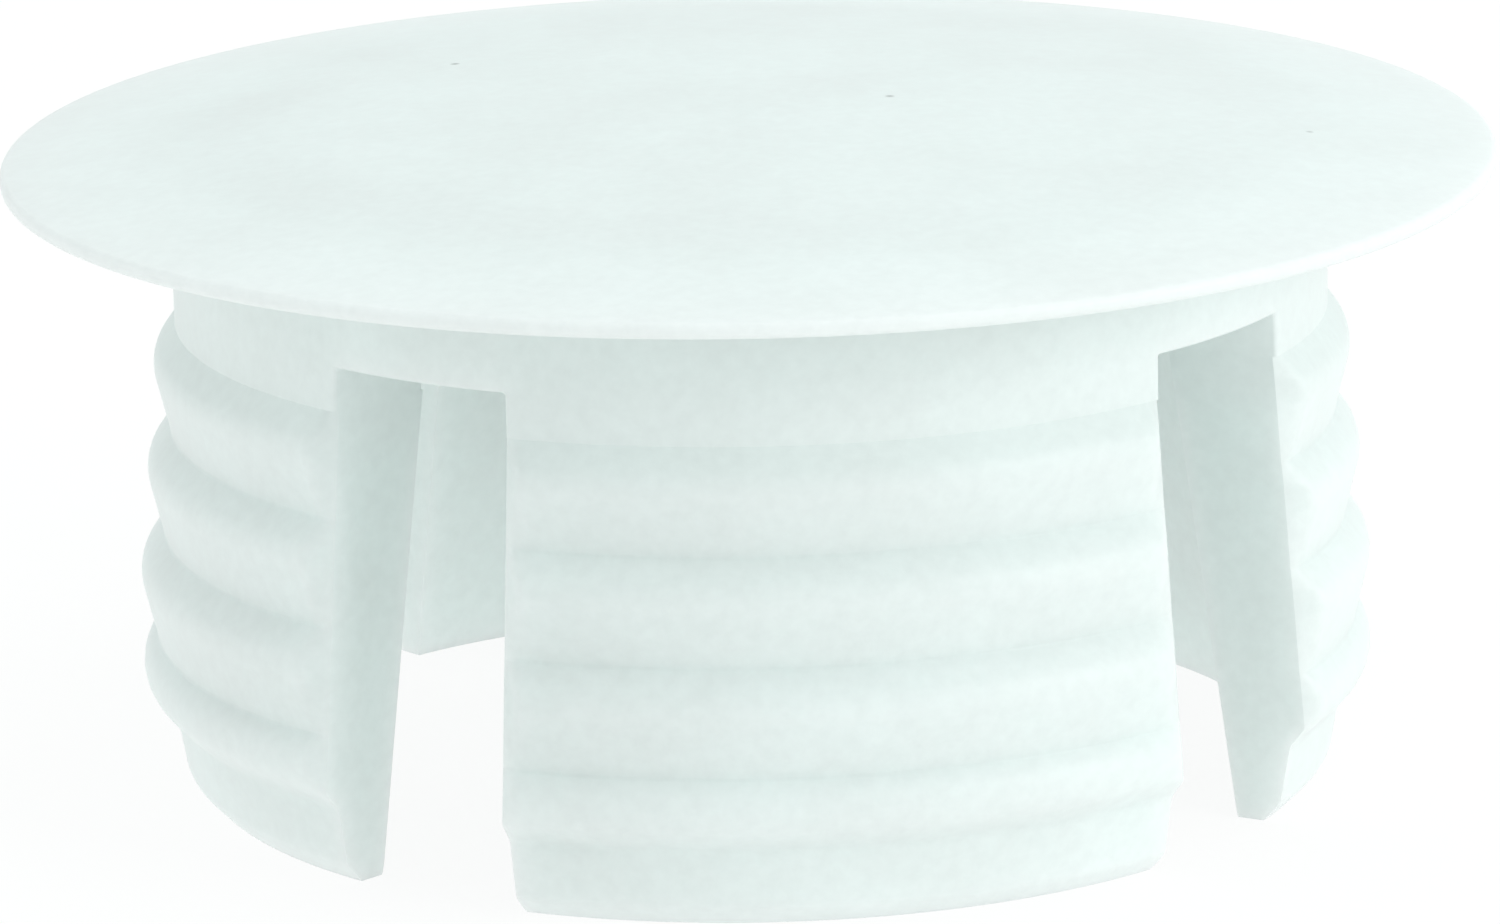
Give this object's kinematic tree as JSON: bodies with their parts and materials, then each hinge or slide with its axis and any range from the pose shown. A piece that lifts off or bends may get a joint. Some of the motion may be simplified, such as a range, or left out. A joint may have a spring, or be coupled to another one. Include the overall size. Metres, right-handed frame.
{
  "type": "snap-in hole plug",
  "caption": "Round domed cover cap whose ribbed, slotted spring legs snap into a drilled hole and hide it.",
  "frame": {"origin": "centre of the seat, the plane of the head's underside that lies on the panel, on the cap's axis", "axes": "+Z along the axis, out through the domed head; the legs hang towards -Z; -Y is the middle of the front leg"},
  "size_m": [0.025, 0.025, 0.0115],
  "materials": {
    "moulded_plastic": "natural white polyethylene as moulded, slightly translucent, soft sheen"
  },
  "bodies": {
    "cap": {"cap_head": "moulded_plastic", "collar": "moulded_plastic", "root_front": "moulded_plastic", "root_right": "moulded_plastic", "root_back": "moulded_plastic", "root_left": "moulded_plastic"},
    "leg_front": {"leg_front": "moulded_plastic"},
    "leg_right": {"leg_right": "moulded_plastic"},
    "leg_back": {"leg_back": "moulded_plastic"},
    "leg_left": {"leg_left": "moulded_plastic"}
  },
  "joints": [
    {"name": "leg_front_flex", "type": "hinge", "parent": "cap", "child": "leg_front", "pos_m": [0, -0.0087, -0.0019], "axis": [1, 0, 0], "range_deg": [-3, 9], "stiffness_Nm_per_rad": 3.5, "deforming": ["root_front"]},
    {"name": "leg_right_flex", "type": "hinge", "parent": "cap", "child": "leg_right", "pos_m": [0.0087, 0, -0.0019], "axis": [0, 1, 0], "range_deg": [-3, 9], "stiffness_Nm_per_rad": 3.5, "deforming": ["root_right"]},
    {"name": "leg_back_flex", "type": "hinge", "parent": "cap", "child": "leg_back", "pos_m": [0, 0.0087, -0.0019], "axis": [-1, 0, 0], "range_deg": [-3, 9], "stiffness_Nm_per_rad": 3.5, "deforming": ["root_back"]},
    {"name": "leg_left_flex", "type": "hinge", "parent": "cap", "child": "leg_left", "pos_m": [-0.0087, 0, -0.0019], "axis": [0, -1, 0], "range_deg": [-3, 9], "stiffness_Nm_per_rad": 3.5, "deforming": ["root_left"]}
  ]
}
